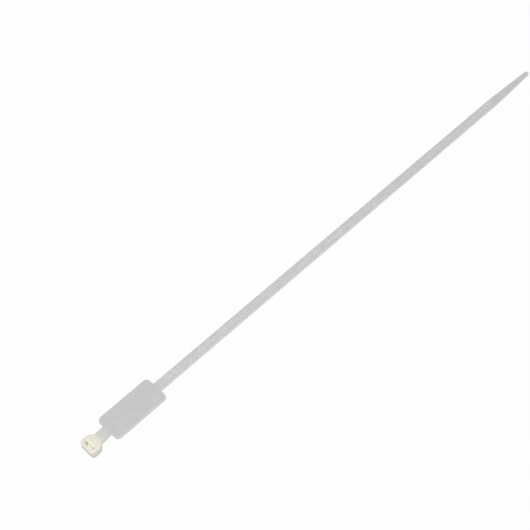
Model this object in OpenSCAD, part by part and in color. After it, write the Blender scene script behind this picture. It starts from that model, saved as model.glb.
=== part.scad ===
// Marker cable tie: one moulding of natural nylon, with a ratchet head, a neck,
// a flat plate to write on, a toothed strap and a tapered tail.
// It is drawn straight with its flat top at z = 0 and its head's front at x = 0.
// Then it is laid down as it comes to rest, on the head's lower edge and the tip,
// with the origin under the middle of its length.

/* [Strap] */
// Length of the whole tie, from the head's front to the tip
overall_l = 302; // [150:1:380]
// Width of the strap
strap_w = 4.8; // [4.2:0.1:5.6]
// Thickness of the strap
strap_t = 1.3; // [1.1:0.05:1.6]
// Radius along the edges of the strap, the plate and the neck
strap_edge_r = 0.35; // [0.1:0.05:0.4]

/* [Tail] */
// Length over which the strap narrows to its tip
tail_l = 28; // [20:1:45]
// Radius of the rounded tip
tip_r = 1.2; // [0.8:0.1:1.8]
// Number of grip ribs across the tail
grip_count = 5; // [1:1:5]
// Distance from one grip rib to the next
grip_pitch = 4; // [2:0.5:4]
// Width of a grip rib along the tail
grip_w = 0.6; // [0.4:0.1:1]
// Height of a grip rib
grip_h = 0.15; // [0.1:0.05:0.25]
// Distance from a grip rib's end to the tail's edge
grip_inset = 0.5; // [0.3:0.1:0.8]

/* [Tooth rack] */
// Distance from one tooth to the next
tooth_pitch = 1.0; // [0.8:0.05:1.4]
// Height of a tooth
tooth_h = 0.45; // [0.3:0.05:0.5]
// Width of the plain rail on each side of the teeth
rail_w = 0.7; // [0.5:0.05:0.9]
// Depth of the tooth crests below the rails
crest_drop = 0.1; // [0:0.05:0.2]
// Plain strap between the plate and the first tooth
rack_start_gap = 3; // [1:0.5:10]
// Plain strap between the last tooth and the tail
rack_end_gap = 3; // [1:0.5:10]

/* [Marker plate] */
// Length of the plate along the strap
plate_l = 28; // [18:1:40]
// Width of the plate
plate_w = 13; // [9:0.5:20]
// Thickness of the plate
plate_t = 1.8; // [1.6:0.1:2.4]
// Radius of the plate's corners
plate_corner_r = 1.8; // [0.5:0.1:2.5]
// Radius of the inner corners where the plate meets the strap and the neck
plate_fillet_r = 0.5; // [0.2:0.1:0.8]

/* [Neck] */
// Length from the head's back to the plate
neck_l = 5.2; // [4:0.2:10]
// Thickness of the neck at the head
neck_t = 3; // [2.4:0.1:3.4]

/* [Head] */
// Length of the head along the strap
head_l = 6.8; // [6.4:0.1:8]
// Width of the head
head_w = 8.2; // [7.8:0.1:9.6]
// Height of the head
head_h = 5.4; // [5.2:0.1:6.5]
// Radius of the head's upright corners in front
head_corner_r = 1.9; // [1:0.1:2]
// Radius of the head's upright corners at the back, which lead into the neck
head_back_r = 3.2; // [1.6:0.1:3.4]
// Radius of the hollow shoulders between the head and the neck
shoulder_r = 1.5; // [0.8:0.1:2]
// Radius of the head's upper edges
head_top_r = 0.5; // [0.3:0.05:0.6]
// Radius of the head's lower edges
head_foot_r = 0.7; // [0.3:0.1:0.9]
// Radius of the nose, by which the front curves back into the underside
nose_r = 2.2; // [1:0.1:2.6]

/* [Slot and pawl] */
// Thickness of the head's wall in front of the slot
front_wall = 1.4; // [1.2:0.1:1.6]
// Clearance on each side of the strap in the slot
slot_clearance = 0.2; // [0.1:0.05:0.3]
// Depth to which the pawl at rest reaches between the strap's teeth
pawl_bite = 0.1; // [0.1:0.05:0.3]
// Clearance between the pawl and each rail of the strap
pawl_clearance = 0.15; // [0.1:0.05:0.3]
// Number of teeth on the pawl
pawl_teeth = 2; // [2:1:3]
// Height of the pawl's teeth
pawl_tooth_h = 0.35; // [0.2:0.05:0.4]
// Thickness of the pawl behind its teeth
pawl_t = 0.9; // [0.7:0.1:1]
// Depth of the pawl's hinge below the head's top
hinge_depth = 1; // [0.9:0.1:1.3]
// Width of the ramp that leads from the head's top to the pawl's teeth
ramp_w = 1.15; // [0.6:0.05:1.3]
// Radius at the pawl's root
pawl_root_r = 0.4; // [0.2:0.05:0.45]
// Gap behind the pawl, into which it bends as the strap passes
relief_w = 1; // [0.9:0.1:1.2]
// Size of the bevels that lead the tail into the slot
lead_in = 0.35; // [0.1:0.05:0.5]

/* [Hidden] */

nylon = [0.86, 0.86, 0.83];
// Straight steps in a quarter turn of a small radius and of a large one
small_steps = 4;
large_steps = 8;
// Faces round a whole turn
turn_faces = 72;
// How far cutting and clipping shapes run past the solid that they work on
past = 1;

// Places along the tie, from the head's front
plate_x = head_l + neck_l;
strap_x = plate_x + plate_l;
tail_x = overall_l - tail_l;
tip_x = overall_l - tip_r;

// The tail's edges touch the tip's circle, which sets their angle
tail_span = norm([tip_x - tail_x, strap_w / 2]);
tail_angle = atan2(strap_w / 2, tip_x - tail_x) - asin(tip_r / tail_span);
// Width that still covers the strap at its far end when it is turned by that angle
side_w = strap_w + overall_l * tan(tail_angle);

// The rack has as many whole teeth as fit between its two plain stretches
rack_x = strap_x + rack_start_gap;
rack_count = floor((tail_x - rack_end_gap - rack_x) / tooth_pitch);
rack_w = strap_w - 2 * rail_w;
crest_z = -crest_drop;
valley_z = crest_z - tooth_h;

// The head's sides swing into the neck over two arcs that touch each other
shoulder_drop = (head_w - strap_w) / 2;
shoulder_sum = head_back_r + shoulder_r;
shoulder_angle = asin((shoulder_sum - shoulder_drop) / shoulder_sum);
shoulder_x = head_l - head_back_r + shoulder_sum * cos(shoulder_angle);

// The slot lets the strap through, and the pawl stands in the way of its teeth
slot_w = strap_w + 2 * slot_clearance;
pawl_w = rack_w - 2 * pawl_clearance;
pawl_face_x = front_wall + strap_t - crest_drop - pawl_bite;
pawl_valley_x = pawl_face_x + pawl_tooth_h;
pawl_back_x = pawl_valley_x + pawl_t;
relief_x = pawl_back_x + relief_w;
mouth_x = pawl_valley_x + ramp_w;
pawl_tip_z = -hinge_depth - pawl_teeth * tooth_pitch;

// The tie rests on the rounded back edge under its head and on its tip
foot_x = head_l - head_foot_r;
foot_z = head_foot_r - head_h;
rest_run = overall_l - foot_x;
rest_rise = -strap_t - foot_z;
rest_tilt = atan2(rest_rise, rest_run) + asin(head_foot_r / norm([rest_run, rest_rise]));
lowest_z = foot_z * cos(rest_tilt) - foot_x * sin(rest_tilt) - head_foot_r;
rear_x = nose_r * (cos(rest_tilt) - 1) + (nose_r - head_h) * sin(rest_tilt);
middle_x = (rear_x + overall_l * cos(rest_tilt)) / 2;

// Points along an arc about (cx, cy), from one angle to another
function arc(cx, cy, r, from, to, steps) =
    [for (i = [0 : steps])
        let (a = from + (to - from) * i / steps)
        [cx + r * cos(a), cy + r * sin(a)]];

// Points of one side of an outline, followed by their mirror image across y = 0
function both_sides(points) =
    concat(points, [for (i = [len(points) - 1 : -1 : 0]) [points[i].x, -points[i].y]]);

// Points of a rectangle centred on y = 0, its upper and lower corners rounded
function rounded_section(w, low, high, low_r, high_r) = both_sides(concat(
    arc_up(w / 2 - low_r, low + low_r, low_r, 270, 360),
    arc_up(w / 2 - high_r, high - high_r, high_r, 0, 90)));

// Points of a slab from the side, with its top at z = 0 and all four corners rounded
function rounded_side(from, to, low, low_r, high_r) = concat(
    arc(from + high_r, -high_r, high_r, 180, 90, small_steps),
    arc(to - high_r, -high_r, high_r, 90, 0, small_steps),
    arc(to - low_r, low + low_r, low_r, 0, -90, small_steps),
    arc(from + low_r, low + low_r, low_r, -90, -180, small_steps));

// The same arc with its two coordinates swapped, so that the outline is mirrored in x
function arc_up(x, z, r, from, to) =
    [for (p = arc(x, z, r, from, to, small_steps)) [p.y, p.x]];

// Extrudes an outline of (z, y) points along x, from one place to another
module along_x(from, to) {
    translate([from, 0, 0])
        rotate([0, 90, 0])
            linear_extrude(to - from)
                mirror([1, 0])
                    children();
}

// Extrudes an outline of (x, z) points across the tie
module across(w) {
    translate([0, w / 2, 0])
        rotate([90, 0, 0])
            linear_extrude(w)
                children();
}

// Extrudes an outline of (x, y) points from one height to another
module upright(low, high) {
    translate([0, 0, low])
        linear_extrude(high - low)
            children();
}

// One long edge of the tail with the strap's rounded section, turned by the tail's angle
module tail_side() {
    translate([tail_x, strap_w / 2, 0])
        rotate([0, 0, -tail_angle])
            translate([0, -side_w / 2, 0])
                along_x(-overall_l, tail_l + past)
                    polygon(rounded_section(side_w, -strap_t, 0, strap_edge_r, strap_edge_r));
}

// The strap as far as its tip, without teeth
module strap_blank() {
    intersection() {
        along_x(strap_x - past, overall_l + past)
            polygon(rounded_section(strap_w, -strap_t, 0, strap_edge_r, strap_edge_r));
        tail_side();
        mirror([0, 1, 0]) tail_side();
        upright(-strap_t - past, past)
            polygon(both_sides(concat(
                [[strap_x - 2 * past, strap_w]],
                [[tip_x + tip_r * sin(tail_angle), strap_w]],
                arc(tip_x, 0, tip_r, 90 - tail_angle, 0, large_steps))));
    }
}

// What is cut from the strap's top to leave the teeth: each has its steep side
// towards the head and slopes down towards the tip
module rack_cut() {
    rack_end = rack_x + rack_count * tooth_pitch;
    across(rack_w)
        polygon(concat(
            [for (i = [0 : rack_count - 1])
                each [[rack_x + i * tooth_pitch, crest_z],
                      [rack_x + (i + 1) * tooth_pitch, valley_z]]],
            [[rack_end, past], [rack_x, past]]));
}

// Low ribs across the tail's top that give the fingers a hold
module grip_ribs() {
    for (i = [0 : grip_count - 1]) {
        x = tip_x - (i + 1) * grip_pitch;
        side = strap_w / 2 - (x - tail_x) * tan(tail_angle) - grip_inset;
        translate([x, 0, 0])
            across(2 * side)
                polygon([
                    [-grip_w / 2, -strap_t / 2],
                    [grip_w / 2, -strap_t / 2],
                    [grip_w / 2, 0],
                    [grip_w / 4, grip_h],
                    [-grip_w / 4, grip_h],
                    [-grip_w / 2, 0]]);
    }
}

// A quarter of a round pillar between +x and +y, its lower and upper edges rounded
module corner(r, low, low_r, high_r) {
    rotate_extrude(angle = 90, $fn = turn_faces)
        polygon(concat(
            [[0, low]],
            arc(r - low_r, low + low_r, low_r, -90, 0, small_steps),
            arc(r - high_r, -high_r, high_r, 0, 90, small_steps),
            [[0, 0]]));
}

// What is cut away beside a hollow corner: a pillar that widens at both ends, which
// rounds the edges beside it
module hollow(r, low, low_r, high_r) {
    rotate_extrude($fn = turn_faces)
        polygon(concat(
            [[0, low - past], [r + low_r, low - past]],
            arc(r + low_r, low + low_r, low_r, 270, 180, small_steps),
            arc(r + high_r, -high_r, high_r, 180, 90, small_steps),
            [[r + high_r, past], [0, past]]));
}

// A slab with its flat top at z = 0, rounded edges and four upright round corners:
// two in front and two at the back
module slab(from, to, w, low, front_r, back_r, low_r, high_r) {
    middle = (from + to) / 2;
    along_x(from + front_r, to - back_r)
        polygon(rounded_section(w, low, 0, low_r, high_r));
    across(w - 2 * front_r)
        polygon(rounded_side(from, middle, low, low_r, high_r));
    across(w - 2 * back_r)
        polygon(rounded_side(middle, to, low, low_r, high_r));
    for (side = [0, 1])
        mirror([0, side, 0]) {
            translate([to - back_r, w / 2 - back_r, 0])
                corner(back_r, low, low_r, high_r);
            translate([from + front_r, w / 2 - front_r, 0])
                rotate([0, 0, 90])
                    corner(front_r, low, low_r, high_r);
        }
}

// One hollow inner corner between the plate's back edge and the strap
module plate_hollow() {
    f = plate_fillet_r;
    difference() {
        upright(-plate_t, 0)
            translate([strap_x - f, 0])
                square([2 * f, strap_w / 2 + f]);
        translate([strap_x + f, strap_w / 2 + f, 0])
            hollow(f, -plate_t, strap_edge_r, strap_edge_r);
    }
}

// The plate, with hollow inner corners where the strap and the neck join it
module marker_plate() {
    r = plate_corner_r;
    slab(plate_x, strap_x, plate_w, -plate_t, r, r, strap_edge_r, strap_edge_r);
    for (end = [0, 1], side = [0, 1])
        translate([(plate_x + strap_x) / 2, 0, 0])
            mirror([end, 0, 0])
                mirror([0, side, 0])
                    translate([-(plate_x + strap_x) / 2, 0, 0])
                        plate_hollow();
}

// The neck seen from the side: its underside slopes from the plate down to the head
module neck_outline() {
    polygon([
        [head_l - head_back_r, 0],
        [plate_x + past, 0],
        [plate_x + past, -plate_t],
        [plate_x, -plate_t],
        [head_l, -neck_t],
        [head_l - head_back_r, -neck_t]]);
}

// The neck between the head and the plate
module neck() {
    intersection() {
        across(head_w) neck_outline();
        along_x(head_l - head_back_r, plate_x + past)
            polygon(rounded_section(strap_w, -head_h, 0, strap_edge_r, strap_edge_r));
    }
}

// One hollow shoulder, which swings from the head's back corner into the neck
module shoulder() {
    centre = [shoulder_x, strap_w / 2 + shoulder_r];
    difference() {
        intersection() {
            across(head_w) neck_outline();
            upright(-head_h, 0)
                polygon([
                    [head_l - head_back_r, 0],
                    [head_l - head_back_r, head_w / 2 - head_back_r],
                    centre,
                    [shoulder_x, 0]]);
        }
        translate([centre.x, centre.y, 0])
            hollow(shoulder_r, -head_h, strap_edge_r, strap_edge_r);
    }
}

// The head before its slot is cut, with its shoulders
module head_blank() {
    intersection() {
        slab(0, head_l, head_w, -head_h, head_corner_r, head_back_r, head_foot_r, head_top_r);
        across(head_w + 2 * past)
            polygon(concat(
                [[-past, past], [head_l + past, past], [head_l + past, -head_h - past]],
                [[nose_r, -head_h - past]],
                arc(nose_r, nose_r - head_h, nose_r, -90, -180, large_steps),
                [[-past, nose_r - head_h]]));
    }
    shoulder();
    mirror([0, 1, 0]) shoulder();
}

// What is cut from the head for the strap's way through and the pawl's room
module slot_cut() {
    across(slot_w)
        polygon([
            [front_wall, past],
            [front_wall, -head_h + lead_in],
            [front_wall - lead_in, -head_h],
            [front_wall - lead_in, -head_h - past],
            [relief_x, -head_h - past],
            [relief_x, -hinge_depth],
            [pawl_valley_x, -hinge_depth],
            [mouth_x, 0],
            [mouth_x, past]]);
    // The slot's mouth is bevelled in front and at its two ends, with mitred corners
    intersection() {
        across(slot_w + 2 * lead_in)
            polygon([
                [front_wall - lead_in, 0],
                [front_wall, -lead_in],
                [mouth_x, -lead_in],
                [mouth_x, past],
                [front_wall - lead_in, past]]);
        along_x(front_wall - lead_in, mouth_x)
            polygon(both_sides([
                [-lead_in, slot_w / 2],
                [0, slot_w / 2 + lead_in],
                [past, slot_w / 2 + lead_in]]));
    }
}

// The toothed tongue that hangs in the slot and lets the strap through one way
module pawl() {
    across(pawl_w)
        polygon(concat(
            [for (i = [0 : pawl_teeth - 1])
                each [[pawl_valley_x, -hinge_depth - i * tooth_pitch],
                      [pawl_face_x, -hinge_depth - (i + 1) * tooth_pitch]]],
            [[pawl_back_x, pawl_tip_z]],
            arc(pawl_back_x + pawl_root_r, -hinge_depth - pawl_root_r, pawl_root_r,
                180, 90, small_steps),
            [[pawl_back_x + pawl_root_r, -hinge_depth / 2],
             [pawl_valley_x + ramp_w / 2, -hinge_depth / 2]]));
}

module cable_tie() {
    color(nylon)
        translate([-middle_x, 0, -lowest_z])
            rotate([0, rest_tilt, 0]) {
                difference() {
                    union() {
                        head_blank();
                        neck();
                        marker_plate();
                        strap_blank();
                        grip_ribs();
                    }
                    slot_cut();
                    rack_cut();
                }
                pawl();
            }
}

cable_tie();
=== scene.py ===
"""The marker cable tie dressed for its picture: one moulding of natural nylon.

The moulding is worked out with numpy as closed surfaces, which are joined and
cut into one solid, laid down as it comes to rest and given its nylon finish.
"""
import logging
import math
from collections.abc import Callable
from dataclasses import dataclass
from enum import Enum

import bmesh
import bpy
import numpy as np
from mathutils import Matrix, Vector


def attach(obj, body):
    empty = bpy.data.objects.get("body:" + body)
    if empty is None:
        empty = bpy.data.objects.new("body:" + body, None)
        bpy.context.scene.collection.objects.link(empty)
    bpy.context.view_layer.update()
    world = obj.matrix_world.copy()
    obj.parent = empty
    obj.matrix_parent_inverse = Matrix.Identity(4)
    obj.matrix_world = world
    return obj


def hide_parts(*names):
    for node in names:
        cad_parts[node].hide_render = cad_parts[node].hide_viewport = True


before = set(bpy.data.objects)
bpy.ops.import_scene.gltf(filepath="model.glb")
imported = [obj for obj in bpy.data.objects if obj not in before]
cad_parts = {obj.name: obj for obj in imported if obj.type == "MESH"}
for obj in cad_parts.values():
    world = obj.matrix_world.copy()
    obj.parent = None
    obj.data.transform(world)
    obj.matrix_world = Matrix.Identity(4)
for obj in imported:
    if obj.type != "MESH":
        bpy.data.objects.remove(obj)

LOG = logging.getLogger("cable_tie")

# Metres in a millimetre, the unit of the sizes below
MM = 0.001
# How far in millimetres cutting shapes run past the solid that they work on
PAST = 1.0

# Linear red, green, blue and alpha, from 0 to 1
Colour = tuple[float, float, float, float]
WHITE: Colour = (1.0, 1.0, 1.0, 1.0)
# Two ends between which something fades
Span = tuple[float, float]
# Where nearly all of a Noise node's values lie
NOISE_SPAN: Span = (0.3, 0.7)
# Places of the factor and the two colours among a Mix node's inputs, and of its result
MIX_INPUTS = (0, 6, 7)
MIX_OUTPUT = 2


class Joining(Enum):
    """How one closed solid is worked into another."""

    UNION = "UNION"
    CUT = "DIFFERENCE"
    COMMON = "INTERSECT"


def arc(x: float, y: float, radius: float, start: float, stop: float, steps: int) -> np.ndarray:
    """Works out points along an arc.

    The formula is the centre plus the radius times the cosine and the sine of
    angles spaced evenly from start to stop.

    Args:
        x: First coordinate of the centre.
        y: Second coordinate of the centre.
        radius: Radius of the arc.
        start: First angle in degrees.
        stop: Last angle in degrees.
        steps: Number of straight steps.

    Returns:
        An array of steps + 1 points.
    """
    angle = np.radians(np.linspace(start, stop, steps + 1))
    return np.column_stack((x + radius * np.cos(angle), y + radius * np.sin(angle)))


def both_sides(side: np.ndarray) -> np.ndarray:
    """Closes one side of an outline with its mirror image across y = 0.

    Args:
        side: Points of the side, with y above zero or on it at the two ends.

    Returns:
        The points of the closed outline. A point on y = 0 is used once.
    """
    back = side[::-1] * (1.0, -1.0)
    return np.concatenate((side, back[back[:, 1] < 0.0]))


def quarter(radius: float, steps: int) -> tuple[np.ndarray, np.ndarray]:
    """Works out a quarter round that runs from an upright wall to a flat face.

    The inset is the radius times one less the cosine, and the fall is the radius
    times one less the sine, of an angle from 0 to 90 degrees.

    Args:
        radius: Radius of the round.
        steps: Number of straight steps.

    Returns:
        How far each point lies in from the wall, and how far below the face.
    """
    angle = np.linspace(0.0, math.pi / 2, steps + 1)
    return radius * (1.0 - np.cos(angle)), radius * (1.0 - np.sin(angle))


def loft(name: str, rings: np.ndarray) -> bpy.types.Object:
    """Makes a closed solid of rings of points, with a flat face at each end.

    A wall's face joins two neighbouring points of one ring with the same two of
    the next.

    Args:
        name: Name of the new object.
        rings: Array of rings by points by three coordinates.

    Returns:
        The new object, with its faces pointing outwards.
    """
    count, size = rings.shape[:2]
    start = np.arange(count - 1)[:, None] * size
    here = np.arange(size)[None, :]
    there = (here + 1) % size
    walls = np.stack((start + here, start + size + here, start + size + there, start + there), -1)
    faces = walls.reshape(-1, 4).tolist()
    faces.append(list(range(size)))
    faces.append(list(range(count * size - 1, (count - 1) * size - 1, -1)))
    mesh = bpy.data.meshes.new(name)
    mesh.from_pydata(rings.reshape(-1, 3).tolist(), [], faces)
    shell = bmesh.new()
    shell.from_mesh(mesh)
    bmesh.ops.recalc_face_normals(shell, faces=shell.faces)
    shell.to_mesh(mesh)
    shell.free()
    solid = bpy.data.objects.new(name, mesh)
    bpy.context.scene.collection.objects.link(solid)
    return solid


def across(name: str, outline: np.ndarray, width: float) -> bpy.types.Object:
    """Makes a solid by carrying an outline of (x, z) points across the tie.

    Args:
        name: Name of the new object.
        outline: Points of the closed outline.
        width: Width of the solid, centred on y = 0.

    Returns:
        The new object.
    """
    ring = np.insert(outline, 1, -width / 2, axis=1)
    return loft(name, np.stack((ring, ring + (0.0, width, 0.0))))


def slab(name: str, side: Callable[[float], np.ndarray], low: float, low_r: float,
         top_r: Callable[[np.ndarray], np.ndarray], steps: int) -> bpy.types.Object:
    """Makes a slab with its flat top at z = 0 and its edges rounded.

    A point of the surface depends on its place along the outline and on its
    place along the section. It is the outline's point, plus the inset there times
    the inward direction, at the height there. Insets and heights follow a quarter
    round at the bottom, the wall, and a quarter round at the top whose radius may
    change along the tie.

    Args:
        name: Name of the new object.
        side: Gives one side of the outline, moved in by a distance.
        low: Height of the underside.
        low_r: Radius of the lower edges.
        top_r: Gives the radius of the upper edges at places along x.
        steps: Straight steps in a quarter round.

    Returns:
        The new object.
    """
    outline = both_sides(side(0.0))
    inward = (both_sides(side(low_r)) - outline) / low_r
    turn, fall = quarter(1.0, steps)
    low_in = np.outer(turn[::-1] * low_r, np.ones(len(outline)))
    low_z = np.outer(low + fall[::-1] * low_r, np.ones(len(outline)))
    radius = top_r(outline[:, 0])
    inset = np.concatenate((low_in, np.outer(turn, radius)))
    height = np.concatenate((low_z, np.outer(-fall, radius)))
    level = outline[None] + inset[:, :, None] * inward[None]
    return loft(name, np.concatenate((level, height[:, :, None]), axis=2))


def work(solid: bpy.types.Object, tool: bpy.types.Object, joining: Joining) -> None:
    """Works a tool into a solid, and removes the tool.

    Args:
        solid: Object that is changed.
        tool: Object that is joined, cut away or kept in common.
        joining: How the two are combined.
    """
    step = solid.modifiers.new(joining.name.lower(), "BOOLEAN")
    step.operation = joining.value
    step.solver = "MANIFOLD"
    step.object = tool
    graph = bpy.context.evaluated_depsgraph_get()
    worked = bpy.data.meshes.new_from_object(solid.evaluated_get(graph))
    solid.modifiers.clear()
    old = solid.data
    solid.data = worked
    bpy.data.meshes.remove(old)
    old = tool.data
    bpy.data.objects.remove(tool)
    bpy.data.meshes.remove(old)


@dataclass(frozen=True)
class TieSizes:
    """Sizes of the tie in millimetres, drawn straight along x.

    The flat top lies at z = 0 and the head's front at x = 0.
    """

    overall_l: float = 302.0
    strap_w: float = 4.8
    strap_t: float = 1.3
    edge_r: float = 0.35
    tail_l: float = 28.0
    tip_r: float = 1.2
    tooth_pitch: float = 1.0
    tooth_h: float = 0.45
    rail_w: float = 0.7
    crest_drop: float = 0.1
    rack_start_gap: float = 3.0
    rack_end_gap: float = 3.0
    plate_l: float = 28.0
    plate_w: float = 13.0
    plate_t: float = 1.8
    plate_corner_r: float = 1.8
    plate_fillet_r: float = 0.5
    neck_l: float = 5.2
    neck_t: float = 3.0
    head_l: float = 6.8
    head_w: float = 8.2
    head_h: float = 5.4
    head_corner_r: float = 1.9
    head_back_r: float = 3.2
    shoulder_r: float = 1.5
    head_foot_r: float = 0.7
    nose_r: float = 2.2
    round_steps: int = 5
    curve_steps: int = 14

    @property
    def plate_x(self) -> float:
        """Start of the plate."""
        return self.head_l + self.neck_l

    @property
    def strap_x(self) -> float:
        """End of the plate and start of the strap."""
        return self.plate_x + self.plate_l

    @property
    def tail_x(self) -> float:
        """Place where the strap begins to narrow."""
        return self.overall_l - self.tail_l

    @property
    def tip_x(self) -> float:
        """Centre of the tip's round end."""
        return self.overall_l - self.tip_r

    @property
    def tail_angle(self) -> float:
        """Angle between the tail's edge, which touches the tip's circle, and x.

        It is the slope from the edge's start to the tip's centre, less the angle
        whose sine is the tip's radius over their distance.

        Returns:
            The angle in degrees.
        """
        run = self.tip_x - self.tail_x
        span = math.hypot(run, self.strap_w / 2)
        return math.degrees(math.atan2(self.strap_w / 2, run) - math.asin(self.tip_r / span))

    @property
    def rack_x(self) -> float:
        """Start of the first tooth."""
        return self.strap_x + self.rack_start_gap

    @property
    def rack_count(self) -> int:
        """Number of whole teeth between the two plain stretches."""
        return int((self.tail_x - self.rack_end_gap - self.rack_x) / self.tooth_pitch)

    @property
    def rack_w(self) -> float:
        """Width of the teeth between the two rails."""
        return self.strap_w - 2 * self.rail_w

    @property
    def foot(self) -> tuple[float, float]:
        """Centre, in x and z, of the round back edge under the head."""
        return self.head_l - self.head_foot_r, self.head_foot_r - self.head_h

    @property
    def rest_tilt(self) -> float:
        """Angle by which the tie tips when it rests on its head and tip.

        It is the slope from the centre of the foot's round edge to the strap's
        end, plus the angle whose sine is that edge's radius over their distance.

        Returns:
            The angle in radians.
        """
        run = self.overall_l - self.foot[0]
        rise = -self.strap_t - self.foot[1]
        return math.atan2(rise, run) + math.asin(self.head_foot_r / math.hypot(run, rise))

    def edge(self, x: np.ndarray) -> np.ndarray:
        """Radius of the upper edges of the strap and the plate, the same all along."""
        return np.full(len(x), self.edge_r)

    def laid_down(self, points: np.ndarray) -> np.ndarray:
        """Lays drawn points down as the tie rests, in metres.

        Each point turns about y by the rest tilt. Then the whole is moved so that
        its lowest point is at z = 0 and the middle of its length at x = 0.

        Args:
            points: Array of points in millimetres, as drawn.

        Returns:
            The points in metres in the shared frame.
        """
        c = math.cos(self.rest_tilt)
        s = math.sin(self.rest_tilt)
        foot_x, foot_z = self.foot
        lowest = foot_z * c - foot_x * s - self.head_foot_r
        rear = self.nose_r * (c - 1) + (self.nose_r - self.head_h) * s
        middle = (rear + self.overall_l * c) / 2
        x, y, z = points.T
        return np.column_stack((x * c + z * s - middle, y, z * c - x * s - lowest)) * MM


@dataclass(frozen=True)
class Head:
    """The ratchet head with its neck, its slot and the pawl in it."""

    sizes: TieSizes
    top_r: float = 0.7
    top_fall_l: float = 1.0
    neck_gap: float = 0.05
    front_wall: float = 1.4
    slot_clearance: float = 0.2
    pawl_bite: float = 0.1
    pawl_clearance: float = 0.15
    pawl_teeth: int = 2
    pawl_tooth_h: float = 0.35
    pawl_t: float = 0.9
    hinge_depth: float = 1.0
    ramp_w: float = 1.15
    pawl_root_r: float = 0.4
    relief_w: float = 1.0
    lead_in: float = 0.35
    slot_corner_r: float = 0.25

    @property
    def slot_w(self) -> float:
        """Width of the slot, which lets the strap through."""
        return self.sizes.strap_w + 2 * self.slot_clearance

    @property
    def pawl_valley_x(self) -> float:
        """Bottom of the notches between the pawl's teeth."""
        t = self.sizes
        return self.front_wall + t.strap_t - t.crest_drop - self.pawl_bite + self.pawl_tooth_h

    @property
    def mouth_x(self) -> float:
        """Upper edge of the ramp that leads into the slot."""
        return self.pawl_valley_x + self.ramp_w

    @property
    def pawl_back_x(self) -> float:
        """Back of the pawl."""
        return self.pawl_valley_x + self.pawl_t

    def side(self, inset: float) -> np.ndarray:
        """One side of the head from above: a small corner in front, a large one at the back.

        Args:
            inset: Distance by which the side is moved in.

        Returns:
            The side's points, from the front to the back.
        """
        t = self.sizes
        r = t.head_corner_r
        back = t.head_back_r
        return np.concatenate((
            arc(r, t.head_w / 2 - r, r - inset, 180, 90, t.curve_steps),
            arc(t.head_l - back, t.head_w / 2 - back, back - inset, 90, 0, t.curve_steps)))

    def neck_side(self, inset: float) -> np.ndarray:
        """One side of the neck from above, with a hollow shoulder at the head.

        It starts at the centre of the head's back corner and runs out to its
        outline. There the shoulder touches it and swings into the neck. The two
        centres are as far apart as both radii together, and the swing's sine is
        the part of that distance that runs across the tie, over the whole.

        Args:
            inset: Distance by which the side is moved in.

        Returns:
            The side's points, from the head to the plate.
        """
        t = self.sizes
        back = t.head_back_r
        total = back + t.shoulder_r
        swing = math.degrees(math.asin((total - (t.head_w - t.strap_w) / 2) / total))
        shoulder_x = t.head_l - back + total * math.cos(math.radians(swing))
        return np.concatenate((
            [(t.head_l - back, t.head_w / 2 - back)],
            arc(shoulder_x, t.strap_w / 2 + t.shoulder_r, t.shoulder_r + inset,
                180 + swing, 270, t.curve_steps),
            [(t.plate_x + PAST, t.strap_w / 2 - inset)]))

    def edge(self, x: np.ndarray) -> np.ndarray:
        """Radius of the upper edges, which falls smoothly from the head's to the plate's.

        The fall is three times the square of the share of the way, less twice its
        cube. It starts a little before the head's back and is as long as the neck.

        Args:
            x: Places along the tie.

        Returns:
            The radius at each place.
        """
        t = self.sizes
        share = np.clip((x - t.head_l + self.top_fall_l) / t.neck_l, 0.0, 1.0)
        return self.top_r + (t.edge_r - self.top_r) * share ** 2 * (3.0 - 2.0 * share)

    def profile(self) -> np.ndarray:
        """What the nose's round and the neck's sloping underside leave, from the side.

        Returns:
            The outline's points in x and z.
        """
        t = self.sizes
        behind = t.head_l + self.neck_gap
        end = t.plate_x + PAST / 2
        nose = arc(t.nose_r, t.nose_r - t.head_h, t.nose_r, -90, -180, t.curve_steps)
        return np.concatenate((
            [(t.nose_r, -t.head_h - PAST)], nose,
            [(-PAST, t.nose_r - t.head_h), (-PAST, PAST), (end, PAST), (end, -t.plate_t),
             (t.plate_x, -t.plate_t), (behind, -t.neck_t), (behind, -t.head_h - PAST)]))

    def slot_rings(self) -> np.ndarray:
        """The way through the head as rings from top to bottom.

        Each ring is a rectangle with round corners. At the mouth it widens over
        a quarter round in front and at both ends, and over the ramp at the back.

        Returns:
            An array of rings by points by three coordinates.
        """
        flare, fall = quarter(self.lead_in, self.sizes.round_steps)
        low = -self.sizes.head_h
        depth = np.concatenate(([PAST], -fall[::-1], [-self.hinge_depth, low + self.lead_in],
                                low + fall, [low - PAST]))
        out = np.concatenate(([flare[-1]], flare[::-1], [0.0, 0.0], flare, [flare[-1]]))
        ramp = np.clip(1.0 + depth / self.hinge_depth, 0.0, 1.0) * self.ramp_w
        back = self.pawl_valley_x + ramp
        corner = self.slot_corner_r
        rings = []
        for z, d, x1 in zip(depth, out, back):
            x0 = self.front_wall - d
            half = self.slot_w / 2 + d
            side = np.concatenate((
                arc(x0 + corner, half - corner, corner, 180, 90, self.sizes.round_steps),
                arc(x1 - corner, half - corner, corner, 90, 0, self.sizes.round_steps)))
            rings.append(np.insert(both_sides(side), 2, z, axis=1))
        return np.stack(rings)

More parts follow.
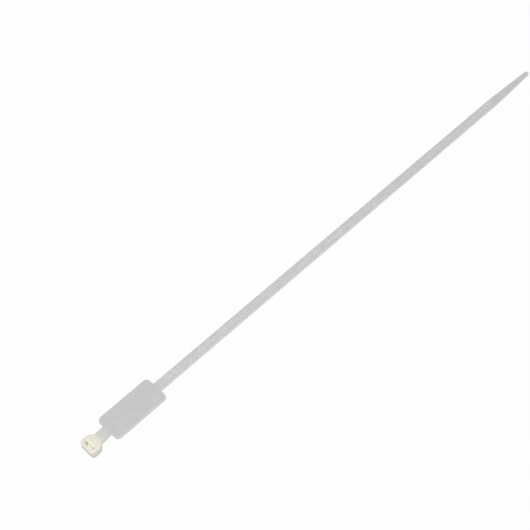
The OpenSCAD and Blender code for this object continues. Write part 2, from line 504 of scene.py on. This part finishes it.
    def pawl_outline(self) -> np.ndarray:
        """The pawl from the side: teeth in front, a root that blends into the head.

        Returns:
            The outline's points in x and z.
        """
        t = self.sizes
        step = np.arange(self.pawl_teeth)
        teeth = np.empty((self.pawl_teeth, 2, 2))
        teeth[:, 0, 0] = self.pawl_valley_x
        teeth[:, 0, 1] = -self.hinge_depth - step * t.tooth_pitch
        teeth[:, 1, 0] = self.pawl_valley_x - self.pawl_tooth_h
        teeth[:, 1, 1] = -self.hinge_depth - (step + 1) * t.tooth_pitch
        root_x = self.pawl_back_x + self.pawl_root_r
        tip_z = -self.hinge_depth - self.pawl_teeth * t.tooth_pitch
        return np.concatenate((
            teeth.reshape(-1, 2),
            [(self.pawl_back_x, tip_z)],
            arc(root_x, -self.hinge_depth - self.pawl_root_r, self.pawl_root_r, 180, 90,
                t.round_steps),
            [(root_x, -self.hinge_depth / 2),
             (self.pawl_valley_x + self.ramp_w / 2, -self.hinge_depth / 2)]))

    def build(self) -> bpy.types.Object:
        """Makes the head and neck with the slot cut and the pawl in place.

        Returns:
            The closed solid.
        """
        t = self.sizes
        solid = slab("head", self.side, -t.head_h, t.head_foot_r, self.edge, t.round_steps)
        neck = slab("neck", self.neck_side, -t.neck_t, t.edge_r, self.edge, t.round_steps)
        work(solid, neck, Joining.UNION)
        work(solid, across("profile", self.profile(), t.head_w + 2 * PAST), Joining.COMMON)
        work(solid, loft("slot", self.slot_rings()), Joining.CUT)
        relief_x = self.pawl_back_x + self.relief_w
        front = self.front_wall + self.slot_clearance
        relief = np.array([(front, -self.hinge_depth), (relief_x, -self.hinge_depth),
                           (relief_x, -t.head_h - PAST), (front, -t.head_h - PAST)])
        work(solid, across("relief", relief, self.slot_w), Joining.CUT)
        pawl_w = t.rack_w - 2 * self.pawl_clearance
        work(solid, across("pawl", self.pawl_outline(), pawl_w), Joining.UNION)
        return solid


@dataclass(frozen=True)
class MarkerPlate:
    """The flat plate between the neck and the strap."""

    sizes: TieSizes

    def side(self, inset: float) -> np.ndarray:
        """One side of the plate from above, with the hollow corners at both ends.

        Args:
            inset: Distance by which the side is moved in.

        Returns:
            The side's points, from the neck to the strap.
        """
        t = self.sizes
        r = t.plate_corner_r
        f = t.plate_fillet_r
        root = t.strap_w / 2 + f
        half = t.plate_w / 2 - r
        n = t.curve_steps
        return np.concatenate((
            arc(t.plate_x - f, root, f + inset, 270, 360, t.round_steps),
            arc(t.plate_x + r, half, r - inset, 180, 90, n),
            arc(t.strap_x - r, half, r - inset, 90, 0, n),
            arc(t.strap_x + f, root, f + inset, 180, 270, t.round_steps)))

    def build(self) -> bpy.types.Object:
        """Makes the plate."""
        t = self.sizes
        return slab("plate", self.side, -t.plate_t, t.edge_r, t.edge, t.round_steps)


@dataclass(frozen=True)
class Strap:
    """The toothed strap with its tapered tail."""

    sizes: TieSizes
    grip_count: int = 5
    grip_pitch: float = 4.0
    grip_w: float = 0.6
    grip_h: float = 0.15
    grip_inset: float = 0.5
    crest_end: float = 0.1
    fall_end: float = 0.93
    valley_end: float = 0.98

    def side(self, inset: float) -> np.ndarray:
        """One side of the strap and the tail from above.

        The corner between them moves back by the inset times the tangent of half
        the tail's angle, so that both edges stay parallel to where they were.

        Args:
            inset: Distance by which the side is moved in.

        Returns:
            The side's points, from the plate to the tip.
        """
        t = self.sizes
        mitre = inset * math.tan(math.radians(t.tail_angle / 2))
        return np.concatenate((
            [(t.strap_x - PAST, t.strap_w / 2 - inset),
             (t.tail_x - mitre, t.strap_w / 2 - inset)],
            arc(t.tip_x, 0.0, t.tip_r - inset, 90 - t.tail_angle, 0, t.curve_steps)))

    def rack_outline(self) -> np.ndarray:
        """What is cut away over the teeth, from the side.

        Each tooth is a short crest, a long fall towards the tip and a steep rise
        to the next crest, with a narrow flat in the valley. They end at given
        shares of the pitch.

        Returns:
            The outline's points in x and z.
        """
        t = self.sizes
        crest = -t.crest_drop
        valley = crest - t.tooth_h
        tooth = np.array([(0.0, crest), (self.crest_end, crest), (self.fall_end, valley),
                          (self.valley_end, valley)])
        start = t.rack_x + np.arange(t.rack_count) * t.tooth_pitch
        row = np.tile(tooth, (t.rack_count, 1, 1)) * (t.tooth_pitch, 1.0)
        row[:, :, 0] += start[:, None]
        end = t.rack_x + t.rack_count * t.tooth_pitch
        return np.concatenate((row.reshape(-1, 2), [(end, crest), (end, PAST), (t.rack_x, PAST)]))

    def grip(self, x: float) -> bpy.types.Object:
        """Makes one low rib across the tail.

        Its top is half an ellipse, and its length follows the tail's width there.

        Args:
            x: Place of the rib's middle along the tie.

        Returns:
            The rib.
        """
        t = self.sizes
        half = t.strap_w / 2 - (x - t.tail_x) * math.tan(math.radians(t.tail_angle))
        top = arc(0.0, 0.0, 1.0, 180, 0, t.round_steps) * (self.grip_w / 2, self.grip_h)
        foot = [(self.grip_w / 2, -t.strap_t / 2), (-self.grip_w / 2, -t.strap_t / 2)]
        outline = np.concatenate((top, foot)) + (x, 0.0)
        return across("grip", outline, 2 * (half - self.grip_inset))

    def build(self) -> bpy.types.Object:
        """Makes the strap, cuts its teeth and adds the grips on the tail.

        Returns:
            The closed solid.
        """
        t = self.sizes
        solid = slab("strap", self.side, -t.strap_t, t.edge_r, t.edge, t.round_steps)
        work(solid, across("rack", self.rack_outline(), t.rack_w), Joining.CUT)
        for place in range(1, self.grip_count + 1):
            work(solid, self.grip(t.tip_x - place * self.grip_pitch), Joining.UNION)
        return solid


def linear(red: int, green: int, blue: int) -> Colour:
    """Turns a colour as a screen shows it into a linear one.

    Near black it is the value over 12.92. Above that it is the value plus 0.055,
    over 1.055, to the power of 2.4.

    Args:
        red: Red from 0 to 255.
        green: Green from 0 to 255.
        blue: Blue from 0 to 255.

    Returns:
        The linear colour, with an alpha of 1.
    """
    shown = np.array((red, green, blue)) / 255
    low = shown / 12.92
    high = ((shown + 0.055) / 1.055) ** 2.4
    return (*np.where(shown <= 0.04045, low, high).tolist(), 1.0)


@dataclass(frozen=True)
class Clouds:
    """Noise that moves a value between a low and a high one from place to place."""

    scale: float
    detail: float
    low: float
    high: float


@dataclass
class Graph:
    """A node tree with short ways to add and join its nodes."""

    tree: bpy.types.NodeTree

    def add(self, kind: str, **settings: object) -> bpy.types.Node:
        """Adds a node.

        Args:
            kind: Type of the node.
            **settings: Value of each property that is set.

        Returns:
            The node.
        """
        node = self.tree.nodes.new(kind)
        for name, value in settings.items():
            setattr(node, name, value)
        return node

    def give(self, socket: bpy.types.NodeSocket, value: object) -> None:
        """Links an input to another node's output, or sets it to a plain value.

        Args:
            socket: The input.
            value: The output or the plain value.
        """
        if isinstance(value, bpy.types.NodeSocket):
            self.tree.links.new(value, socket)
        else:
            socket.default_value = value

    def feed(self, node: bpy.types.Node, **inputs: object) -> bpy.types.Node:
        """Gives a node's inputs what they are to have.

        Args:
            node: The node.
            **inputs: Value or output for each input, named with an underscore for
                each space.

        Returns:
            The same node.
        """
        for name, value in inputs.items():
            self.give(node.inputs[name.replace("_", " ")], value)
        return node

    def math(self, operation: str, first: object, second: object = 0.0) -> bpy.types.NodeSocket:
        """Works out one value from one or two others.

        Args:
            operation: What is done, as the Math node names it.
            first: First value or output.
            second: Second value or output.

        Returns:
            The result.
        """
        node = self.add("ShaderNodeMath", operation=operation)
        for socket, value in zip(node.inputs, (first, second)):
            self.give(socket, value)
        return node.outputs[0]

    def fade(self, value: bpy.types.NodeSocket, span: Span,
             low: float, high: float) -> bpy.types.NodeSocket:
        """Turns a value that runs over a span smoothly into one from low to high.

        The share of the way is smoothed to three times its square, less twice its
        cube.

        Args:
            value: The value.
            span: Where the change starts and stops.
            low: Result before the start.
            high: Result past the stop.

        Returns:
            The result.
        """
        node = self.add("ShaderNodeMapRange", interpolation_type="SMOOTHSTEP")
        self.feed(node, Value=value, From_Min=span[0], From_Max=span[1], To_Min=low, To_Max=high)
        return node.outputs["Result"]

    def fade_mm(self, value: bpy.types.NodeSocket, span: Span,
                low: float, high: float) -> bpy.types.NodeSocket:
        """Fades as above, with a value in metres and a span in millimetres."""
        return self.fade(value, (span[0] * MM, span[1] * MM), low, high)

    def split(self, vector: bpy.types.NodeSocket) -> tuple[bpy.types.NodeSocket, ...]:
        """Splits a vector.

        Args:
            vector: The vector.

        Returns:
            Its x, y and z.
        """
        node = self.add("ShaderNodeSeparateXYZ")
        self.give(node.inputs[0], vector)
        return tuple(node.outputs)

    def mix(self, factor: object, first: object, second: object,
            blend: str = "MIX") -> bpy.types.NodeSocket:
        """Mixes two colours.

        Args:
            factor: Share of the second colour.
            first: First colour.
            second: Second colour.
            blend: How they are mixed, as the Mix node names it.

        Returns:
            The mixed colour.
        """
        node = self.add("ShaderNodeMix", data_type="RGBA", blend_type=blend)
        for place, value in zip(MIX_INPUTS, (factor, first, second)):
            self.give(node.inputs[place], value)
        return node.outputs[MIX_OUTPUT]

    def noise(self, place: bpy.types.NodeSocket, scale: float,
              detail: float) -> bpy.types.NodeSocket:
        """Gives plain noise.

        Args:
            place: Coordinates of the point.
            scale: How fine the noise is.
            detail: Number of finer layers in it.

        Returns:
            The noise, nearly all of it within NOISE_SPAN.
        """
        node = self.add("ShaderNodeTexNoise")
        self.feed(node, Vector=place, Scale=scale, Detail=detail)
        return node.outputs["Fac"]

    def cloudy(self, place: bpy.types.NodeSocket, kind: Clouds) -> bpy.types.NodeSocket:
        """Gives noise that runs from the low to the high value of its kind."""
        noise = self.noise(place, kind.scale, kind.detail)
        return self.fade(noise, NOISE_SPAN, kind.low, kind.high)


@dataclass(frozen=True)
class NaturalNylon:
    """The finish of uncoloured nylon.

    It is grey and see-through where it is thin, and ivory in the thick head. Its
    colour holds painted light where light would come through a thin wall: in the
    teeth's valleys, on the rails beside them and round the slot. Upright faces
    carry a lighter colour, a painted highlight, and the head's sides a painted
    shade, darker the lower they lie. Distances, heights and spans are in
    millimetres on the tie as drawn, apart from the upright span, whose ends are
    values of the normal's z.
    """

    sizes: TieSizes
    head: Head
    strap_colour: Colour = linear(201, 201, 201)
    plate_colour: Colour = linear(198, 198, 197)
    # Painted highlight: upright faces get this lighter colour in place of light from the side
    lit_side_colour: Colour = linear(210, 210, 209)
    neck_colour: Colour = linear(206, 207, 202)
    head_colour: Colour = linear(230, 227, 214)
    # Painted shade: darker greenish colour for the head's sides
    head_shade_colour: Colour = linear(208, 205, 189)
    ivory_centre_x: float = 1.5
    ivory_across: float = 0.6
    ivory_span: Span = (4.4, 6.4)
    neck_span: Span = (6.6, 11.0)
    plate_inset: float = 1.0
    plate_soft: float = 2.0
    upright_span: Span = (0.1, 0.8)
    # Heights over which the painted shade on the head's sides deepens, and how much of it shows at
    # the top
    shade_heights: Span = (-0.6, -3.5)
    shade_share: float = 0.45
    slot_lap: float = 0.05
    slot_soft: float = 0.1
    slot_ends: Span = (0.05, 0.15)
    slot_heights: Span = (-0.1, -0.7)
    # Painted light: gain on the colour inside the slot
    slot_light_gain: float = 1.24
    rack_soft: float = 0.05
    top_heights: Span = (-0.01, -0.06)
    under_heights: Span = (-0.8, -0.7)
    # Painted light: gains on the colour from the teeth's crests down to their valleys
    valley_light_gain: float = 1.31
    crest_light_gain: float = 0.98
    rail_soft: float = 1.5
    # Painted light: gain on the colour of the rails beside the teeth
    rail_light_gain: float = 1.04
    clouds: Clouds = Clouds(scale=170.0, detail=3.0, low=0.975, high=1.015)
    streaks: Clouds = Clouds(scale=900.0, detail=4.0, low=0.985, high=1.01)
    streak_squash: float = 0.08
    gloss: Clouds = Clouds(scale=420.0, detail=5.0, low=-0.05, high=0.06)
    roughness: float = 0.42
    plate_roughness: float = 0.56
    matt_soft: float = 0.4
    grain_scale: float = 5200.0
    grain_detail: float = 2.0
    strap_grain: float = 0.4
    plate_grain: float = 1.0
    wave_scale: float = 210.0
    wave_detail: float = 1.0
    wave_share: float = 6.0
    bump_strength: float = 0.35
    bump_depth: float = 0.012
    refraction: float = 1.53
    glow_share: float = 0.25
    glow_reach: float = 1.2
    glow_radii: tuple[float, float, float] = (1.0, 1.0, 1.0)

    def as_drawn(self, g: Graph) -> bpy.types.NodeSocket:
        """Gives each point's place on the tie as drawn, in metres.

        The shared frame's coordinates are turned back about y by the rest tilt
        and moved back, so that the flat top is at z = 0 and the front at x = 0.

        Args:
            g: Node tree of the material.

        Returns:
            The place.
        """
        start = self.sizes.laid_down(np.zeros((1, 3)))[0]
        c = math.cos(self.sizes.rest_tilt)
        s = math.sin(self.sizes.rest_tilt)
        back = (-start[0] * c + start[2] * s, 0.0, -start[0] * s - start[2] * c)
        turned = g.add("ShaderNodeMapping")
        g.feed(turned, Vector=g.add("ShaderNodeTexCoord").outputs["Object"],
               Rotation=(0.0, -self.sizes.rest_tilt, 0.0), Location=back)
        return turned.outputs[0]

    def from_head(self, g: Graph, place: bpy.types.NodeSocket) -> bpy.types.NodeSocket:
        """Gives the distance from a point in the front of the head, seen from above.

        Distances across the tie count for less, so that equal ones form an arc
        like the head's back.

        Args:
            g: Node tree of the material.
            place: Place on the tie as drawn.

        Returns:
            The distance in metres.
        """
        moved = g.add("ShaderNodeVectorMath", operation="MULTIPLY_ADD")
        shares = (1.0, self.ivory_across, 0.0)
        back = (-self.ivory_centre_x * MM, 0.0, 0.0)
        for socket, value in zip(moved.inputs, (place, shares, back)):
            g.give(socket, value)
        reach = g.add("ShaderNodeVectorMath", operation="LENGTH")
        g.give(reach.inputs[0], moved.outputs[0])
        return reach.outputs["Value"]

    def within(self, g: Graph, value: bpy.types.NodeSocket, start: float, stop: float,
               soft: float) -> bpy.types.NodeSocket:
        """Makes a mask of 1 where a value in metres lies between two sizes.

        Args:
            g: Node tree of the material.
            value: The value in metres.
            start: Where the mask begins, in millimetres.
            stop: Where it ends, in millimetres.
            soft: How far it fades out past both, in millimetres.

        Returns:
            The mask.
        """
        rise = g.fade_mm(value, (start - soft, start), 0.0, 1.0)
        fall = g.fade_mm(value, (stop, stop + soft), 1.0, 0.0)
        return g.math("MULTIPLY", rise, fall)

    def in_slot(self, g: Graph, place: bpy.types.NodeSocket) -> bpy.types.NodeSocket:
        """Makes a mask of 1 on the faces inside the slot, from just below the head's top.

        It is the product of a mask along the tie, one across it and one of depth.

        Args:
            g: Node tree of the material.
            place: Place on the tie as drawn.

        Returns:
            The mask.
        """
        head = self.head
        along, side, height = g.split(place)
        half = head.slot_w / 2
        ends = (half + self.slot_ends[0], half + self.slot_ends[1])
        between_ends = g.fade_mm(g.math("ABSOLUTE", side), ends, 1.0, 0.0)
        front = head.front_wall - self.slot_lap
        back = head.pawl_back_x + head.relief_w
        inside = g.math("MULTIPLY", self.within(g, along, front, back, self.slot_soft), between_ends)
        return g.math("MULTIPLY", inside, g.fade_mm(height, self.slot_heights, 0.0, 1.0))

    def body_colour(self, g: Graph, place: bpy.types.NodeSocket) -> bpy.types.NodeSocket:
        """Mixes the colours of the strap, the plate, the neck and the head.

        Each mask brings the next colour over the one before: the plate's, a lighter
        one on upright faces as a painted highlight, the neck's, and the head's, with
        a painted shade on its sides that is darker the lower they lie.

        Args:
            g: Node tree of the material.
            place: Place on the tie as drawn.

        Returns:
            The colour.
        """
        t = self.sizes
        distance = self.from_head(g, place)
        in_head = g.fade_mm(distance, self.ivory_span, 1.0, 0.0)
        in_neck = g.fade_mm(distance, self.neck_span, 1.0, 0.0)
        along, _, height = g.split(place)
        on_plate = self.within(g, along, t.plate_x + self.plate_inset,
                               t.strap_x - self.plate_inset, self.plate_soft)
        _, _, up = g.split(g.add("ShaderNodeNewGeometry").outputs["Normal"])
        upright = g.fade(g.math("ABSOLUTE", up), self.upright_span, 1.0, 0.0)
        # Painted shade on the head's sides, deeper the lower they lie, kept out of the slot
        shade_depth = g.fade_mm(height, self.shade_heights, self.shade_share, 1.0)
        outer = g.math("MULTIPLY", g.math("MULTIPLY", upright, shade_depth),
                       g.math("SUBTRACT", 1.0, self.in_slot(g, place)))
        thick = g.mix(outer, self.head_colour, self.head_shade_colour)
        flat = g.mix(on_plate, self.strap_colour, self.plate_colour)
        # Painted highlight: upright faces are mixed to the lighter colour
        lit_sides = g.mix(upright, flat, self.lit_side_colour)
        thin = g.mix(in_neck, lit_sides, self.neck_colour)
        return g.mix(in_head, thin, thick)

    def painted_through_light(self, g: Graph, place: bpy.types.NodeSocket) -> bpy.types.NodeSocket:
        """Gives how much lighter the colour is painted where light would come through a thin wall.

        In the rack it grows with the depth below the crests. On the rails beside
        it and in the slot it is the same all over.

        Args:
            g: Node tree of the material.
            place: Place on the tie as drawn.

        Returns:
            The factor for the colour.
        """
        t = self.sizes
        along, side, height = g.split(place)
        side = g.math("ABSOLUTE", side)
        rack_end = t.rack_x + t.rack_count * t.tooth_pitch
        half = t.rack_w / 2
        in_rack = g.math("MULTIPLY", self.within(g, along, t.rack_x, rack_end, self.rack_soft),
                         g.fade_mm(side, (half, half + self.rack_soft), 1.0, 0.0))
        below = g.fade_mm(height, self.top_heights, 0.0, 1.0)
        on_teeth = g.math("MULTIPLY", g.math("MULTIPLY", in_rack, below),
                          g.fade_mm(height, self.under_heights, 0.0, 1.0))
        depths = (-t.crest_drop, -(t.crest_drop + t.tooth_h))
        # Painted light: the colour grows lighter from the crests down to the valleys
        valley = g.fade_mm(height, depths, self.crest_light_gain - 1.0, self.valley_light_gain - 1.0)
        by_rack = self.within(g, along, t.rack_x, rack_end, self.rail_soft)
        beside = g.math("MAXIMUM", g.math("SUBTRACT", by_rack, on_teeth), 0.0)
        # Painted light on the rails beside the teeth
        rails = g.math("MULTIPLY", beside, self.rail_light_gain - 1.0)
        # Painted light inside the slot
        in_slot = g.math("MULTIPLY", self.in_slot(g, place), self.slot_light_gain - 1.0)
        thin = g.math("ADD", g.math("MULTIPLY", on_teeth, valley), rails)
        return g.math("ADD", g.math("ADD", thin, in_slot), 1.0)

    def mottle(self, g: Graph, place: bpy.types.NodeSocket) -> bpy.types.NodeSocket:
        """Gives the faint clouds in the nylon times the streaks of its flow in the mould.

        Args:
            g: Node tree of the material.
            place: Place on the tie as drawn.

        Returns:
            The factor for the colour.
        """
        drawn_out = g.feed(g.add("ShaderNodeMapping"), Vector=place,
                           Scale=(self.streak_squash, 1.0, 1.0)).outputs[0]
        return g.math("MULTIPLY", g.cloudy(place, self.clouds), g.cloudy(drawn_out, self.streaks))

    def bumps(self, g: Graph, place: bpy.types.NodeSocket,
              on_plate: bpy.types.NodeSocket) -> bpy.types.NodeSocket:
        """Gives the surface its fine grain, coarser on the plate, and its faint waves.

        The height is the grain times its share, plus the waves times theirs.

        Args:
            g: Node tree of the material.
            place: Place on the tie as drawn.
            on_plate: Mask of the plate.

        Returns:
            The bumped normal.
        """
        grain = g.noise(place, self.grain_scale, self.grain_detail)
        wave = g.noise(place, self.wave_scale, self.wave_detail)
        more = g.math("MULTIPLY", on_plate, self.plate_grain - self.strap_grain)
        coarse = g.math("ADD", more, self.strap_grain)
        height = g.math("ADD", g.math("MULTIPLY", grain, coarse),
                        g.math("MULTIPLY", wave, self.wave_share))
        bump = g.feed(g.add("ShaderNodeBump"), Height=height, Strength=self.bump_strength,
                      Distance=self.bump_depth * MM)
        return bump.outputs[0]

    def build(self) -> bpy.types.Material:
        """Makes the material.

        The colour is the body's times the mottle and times the painted light through
        thin walls. The roughness is the strap's, plus the plate's excess there, plus the unevenness.

        Returns:
            The material.
        """
        t = self.sizes
        material = bpy.data.materials.new("natural_nylon")
        material.use_nodes = True
        g = Graph(material.node_tree)
        shader = material.node_tree.nodes["Principled BSDF"]
        place = self.as_drawn(g)
        # The colour carries the mottle times painted light through thin walls
        mottle_and_light = g.math("MULTIPLY", self.mottle(g, place), self.painted_through_light(g, place))
        grey = g.feed(g.add("ShaderNodeCombineColor"), Red=mottle_and_light, Green=mottle_and_light, Blue=mottle_and_light)
        colour = g.mix(1.0, self.body_colour(g, place), grey.outputs[0], "MULTIPLY")

        along, _, _ = g.split(place)
        on_plate = self.within(g, along, t.plate_x, t.strap_x, self.matt_soft)
        matt = g.math("MULTIPLY", on_plate, self.plate_roughness - self.roughness)
        uneven = g.math("ADD", g.cloudy(place, self.gloss), matt)
        roughness = g.math("ADD", uneven, self.roughness)

        g.feed(shader, Base_Color=colour, Roughness=roughness, Normal=self.bumps(g, place, on_plate))
        g.feed(shader, IOR=self.refraction, Subsurface_Weight=self.glow_share,
               Subsurface_Scale=self.glow_reach * MM, Subsurface_Radius=self.glow_radii)
        return material


@dataclass(frozen=True)
class CableTie:
    """The whole moulding: head, plate and strap in one piece."""

    sizes: TieSizes
    smooth_angle: float = 32.0
    flat_weight: int = 100

    def build(self) -> bpy.types.Object:
        """Joins the parts into one closed solid and lays it down.

        Returns:
            The solid in the shared frame.
        """
        solid = Strap(self.sizes).build()
        LOG.info("strap: %d teeth", self.sizes.rack_count)
        work(solid, MarkerPlate(self.sizes).build(), Joining.UNION)
        LOG.info("marker plate joined")
        work(solid, Head(self.sizes).build(), Joining.UNION)
        LOG.info("head and pawl joined")
        mesh = solid.data
        points = np.empty(len(mesh.vertices) * 3)
        mesh.vertices.foreach_get("co", points)
        mesh.vertices.foreach_set("co", self.sizes.laid_down(points.reshape(-1, 3)).ravel())
        mesh.update()
        solid.name = "cable_tie_moulding"
        mesh.name = solid.name
        return solid

    def finish(self, solid: bpy.types.Object) -> None:
        """Smooths the rounds, keeps the flats flat and gives the nylon finish.

        Args:
            solid: The moulding.
        """
        mesh = solid.data
        mesh.materials.clear()
        mesh.materials.append(NaturalNylon(self.sizes, Head(self.sizes)).build())
        mesh.shade_smooth()
        mesh.set_sharp_from_angle(angle=math.radians(self.smooth_angle))
        even = solid.modifiers.new("even_flats", "WEIGHTED_NORMAL")
        even.keep_sharp = True
        even.weight = self.flat_weight
        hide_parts("cable_tie")
        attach(solid, "root")


@dataclass(frozen=True)
class Studio:
    """The floor, the light and the camera.

    Angles are in degrees, the focal length and the aim's place in pixels, the
    aim's depth and the sensor in millimetres, and other sizes in metres. The
    lamp's direction is given as right, up and towards the lens on the floor.
    Light may turn often enough between the pale walls of the slot to fill it.
    """

    sizes: TieSizes
    azimuth: float = 45.78
    elevation: float = 55.36
    focal_px: float = 1150.5
    image_px: float = 530.0
    aim_depth: float = 488.9
    aim_px: tuple[float, float] = (157.01, 387.1)
    sensor: float = 36.0
    clip_start: float = 0.01
    floor_size: float = 6.0
    floor_grey: float = 0.85
    floor_glow: float = 0.94
    sky: float = 0.6
    lamp_towards: tuple[float, float, float] = (0.0, 0.95, 0.62)
    lamp_distance: float = 1.0
    lamp_size: float = 0.25
    lamp_power: float = 4.3
    matt_bounces: int = 12
    all_bounces: int = 16

    def axes(self) -> tuple[Vector, Vector, Vector]:
        """Works out the camera's directions.

        Level is the sine of the azimuth along x and its cosine along y, and right
        is square to it. Forward dips from level by the elevation, and up leans
        over by the same.

        Returns:
            Right, up and forward in the shared frame.
        """
        a = math.radians(self.azimuth)
        e = math.radians(self.elevation)
        right = Vector((math.cos(a), -math.sin(a), 0.0))
        level = Vector((math.sin(a), math.cos(a), 0.0))
        up = level * math.sin(e) + Vector((0.0, 0.0, math.cos(e)))
        forward = level * math.cos(e) - Vector((0.0, 0.0, math.sin(e)))
        return right, up, forward

    def camera(self) -> None:
        """Sets the camera so that the plate's far end stands at its place in the picture.

        The camera is the aim, less the depth times the ray through that place,
        which is forward plus right and up times their pixels over the focal length.
        """
        right, up, forward = self.axes()
        aim = Vector(self.sizes.laid_down(np.array([(self.sizes.strap_x, 0.0, 0.0)]))[0])
        middle = self.image_px / 2
        aside = (self.aim_px[0] - middle) / self.focal_px
        above = (middle - self.aim_px[1]) / self.focal_px
        ray = forward + right * aside + up * above
        data = bpy.data.cameras.new("camera")
        data.sensor_width = self.sensor
        data.lens = self.sensor * self.focal_px / self.image_px
        data.clip_start = self.clip_start
        camera = bpy.data.objects.new("camera", data)
        turn = Matrix((right, up, -forward)).transposed().to_4x4()
        camera.matrix_world = Matrix.Translation(aim - ray * self.aim_depth * MM) @ turn
        bpy.context.scene.collection.objects.link(camera)
        bpy.context.scene.camera = camera

    def white_for_lens(self, g: Graph) -> bpy.types.NodeSocket:
        """Makes a mask that is 1 for rays from the lens, a gloss or a clear body.

        Args:
            g: Node tree of the floor's material or of the sky.

        Returns:
            The mask.
        """
        path = g.add("ShaderNodeLightPath")
        seen = g.math("MAXIMUM", path.outputs["Is Camera Ray"], path.outputs["Is Glossy Ray"])
        return g.math("MAXIMUM", seen, path.outputs["Is Transmission Ray"])

    def floor(self) -> None:
        """Makes the white floor, which shows the tie's soft shadow."""
        half = self.floor_size / 2
        mesh = bpy.data.meshes.new("floor")
        corners = [(-half, -half, 0.0), (half, -half, 0.0), (half, half, 0.0), (-half, half, 0.0)]
        mesh.from_pydata(corners, [], [(0, 1, 2, 3)])
        material = bpy.data.materials.new("white_floor")
        material.use_nodes = True
        g = Graph(material.node_tree)
        material.node_tree.nodes.clear()
        grey = self.floor_grey
        matt = g.feed(g.add("ShaderNodeBsdfDiffuse"), Color=(grey, grey, grey, 1.0))
        glow = g.feed(g.add("ShaderNodeEmission"), Color=WHITE, Strength=1.0)
        share = g.math("MULTIPLY", self.white_for_lens(g), self.floor_glow)
        blend = g.add("ShaderNodeMixShader")
        for socket, value in zip(blend.inputs, (share, matt.outputs[0], glow.outputs[0])):
            g.give(socket, value)
        out = g.add("ShaderNodeOutputMaterial")
        g.give(out.inputs[0], blend.outputs[0])
        mesh.materials.append(material)
        floor = bpy.data.objects.new("floor", mesh)
        bpy.context.scene.collection.objects.link(floor)

    def sky_light(self) -> None:
        """Lights the tie evenly from all round, with white behind it for the lens."""
        world = bpy.data.worlds.new("studio")
        bpy.context.scene.world = world
        world.use_nodes = True
        g = Graph(world.node_tree)
        back = world.node_tree.nodes["Background"]
        whiter = g.math("MULTIPLY", self.white_for_lens(g), 1.0 - self.sky)
        g.feed(back, Color=WHITE, Strength=g.math("ADD", whiter, self.sky))

    def lamp(self) -> None:
        """Adds the square lamp, which stands off in its direction and faces the tie."""
        right, _, _ = self.axes()
        level = Vector((-right.y, right.x, 0.0))
        aside, up, near = self.lamp_towards
        line = right * aside + Vector((0.0, 0.0, up)) - level * near
        line.normalize()
        data = bpy.data.lights.new("key", "AREA")
        data.size = self.lamp_size
        data.energy = self.lamp_power
        lamp = bpy.data.objects.new("key", data)
        lamp.location = line * self.lamp_distance
        lamp.rotation_euler = line.to_track_quat("Z", "Y").to_euler()
        bpy.context.scene.collection.objects.link(lamp)

    def build(self) -> None:
        """Sets up the camera, the floor and the light."""
        scene = bpy.context.scene
        scene.view_settings.view_transform = "Standard"
        scene.cycles.diffuse_bounces = self.matt_bounces
        scene.cycles.max_bounces = self.all_bounces
        self.camera()
        self.floor()
        self.sky_light()
        self.lamp()


def main() -> None:
    """Builds the tie and its studio."""
    logging.basicConfig(level=logging.INFO, format="%(message)s")
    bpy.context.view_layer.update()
    sizes = TieSizes()
    tie = CableTie(sizes)
    solid = tie.build()
    tie.finish(solid)
    LOG.info("moulding: %d faces", len(solid.data.polygons))
    Studio(sizes).build()


if __name__ == "__main__":
    main()
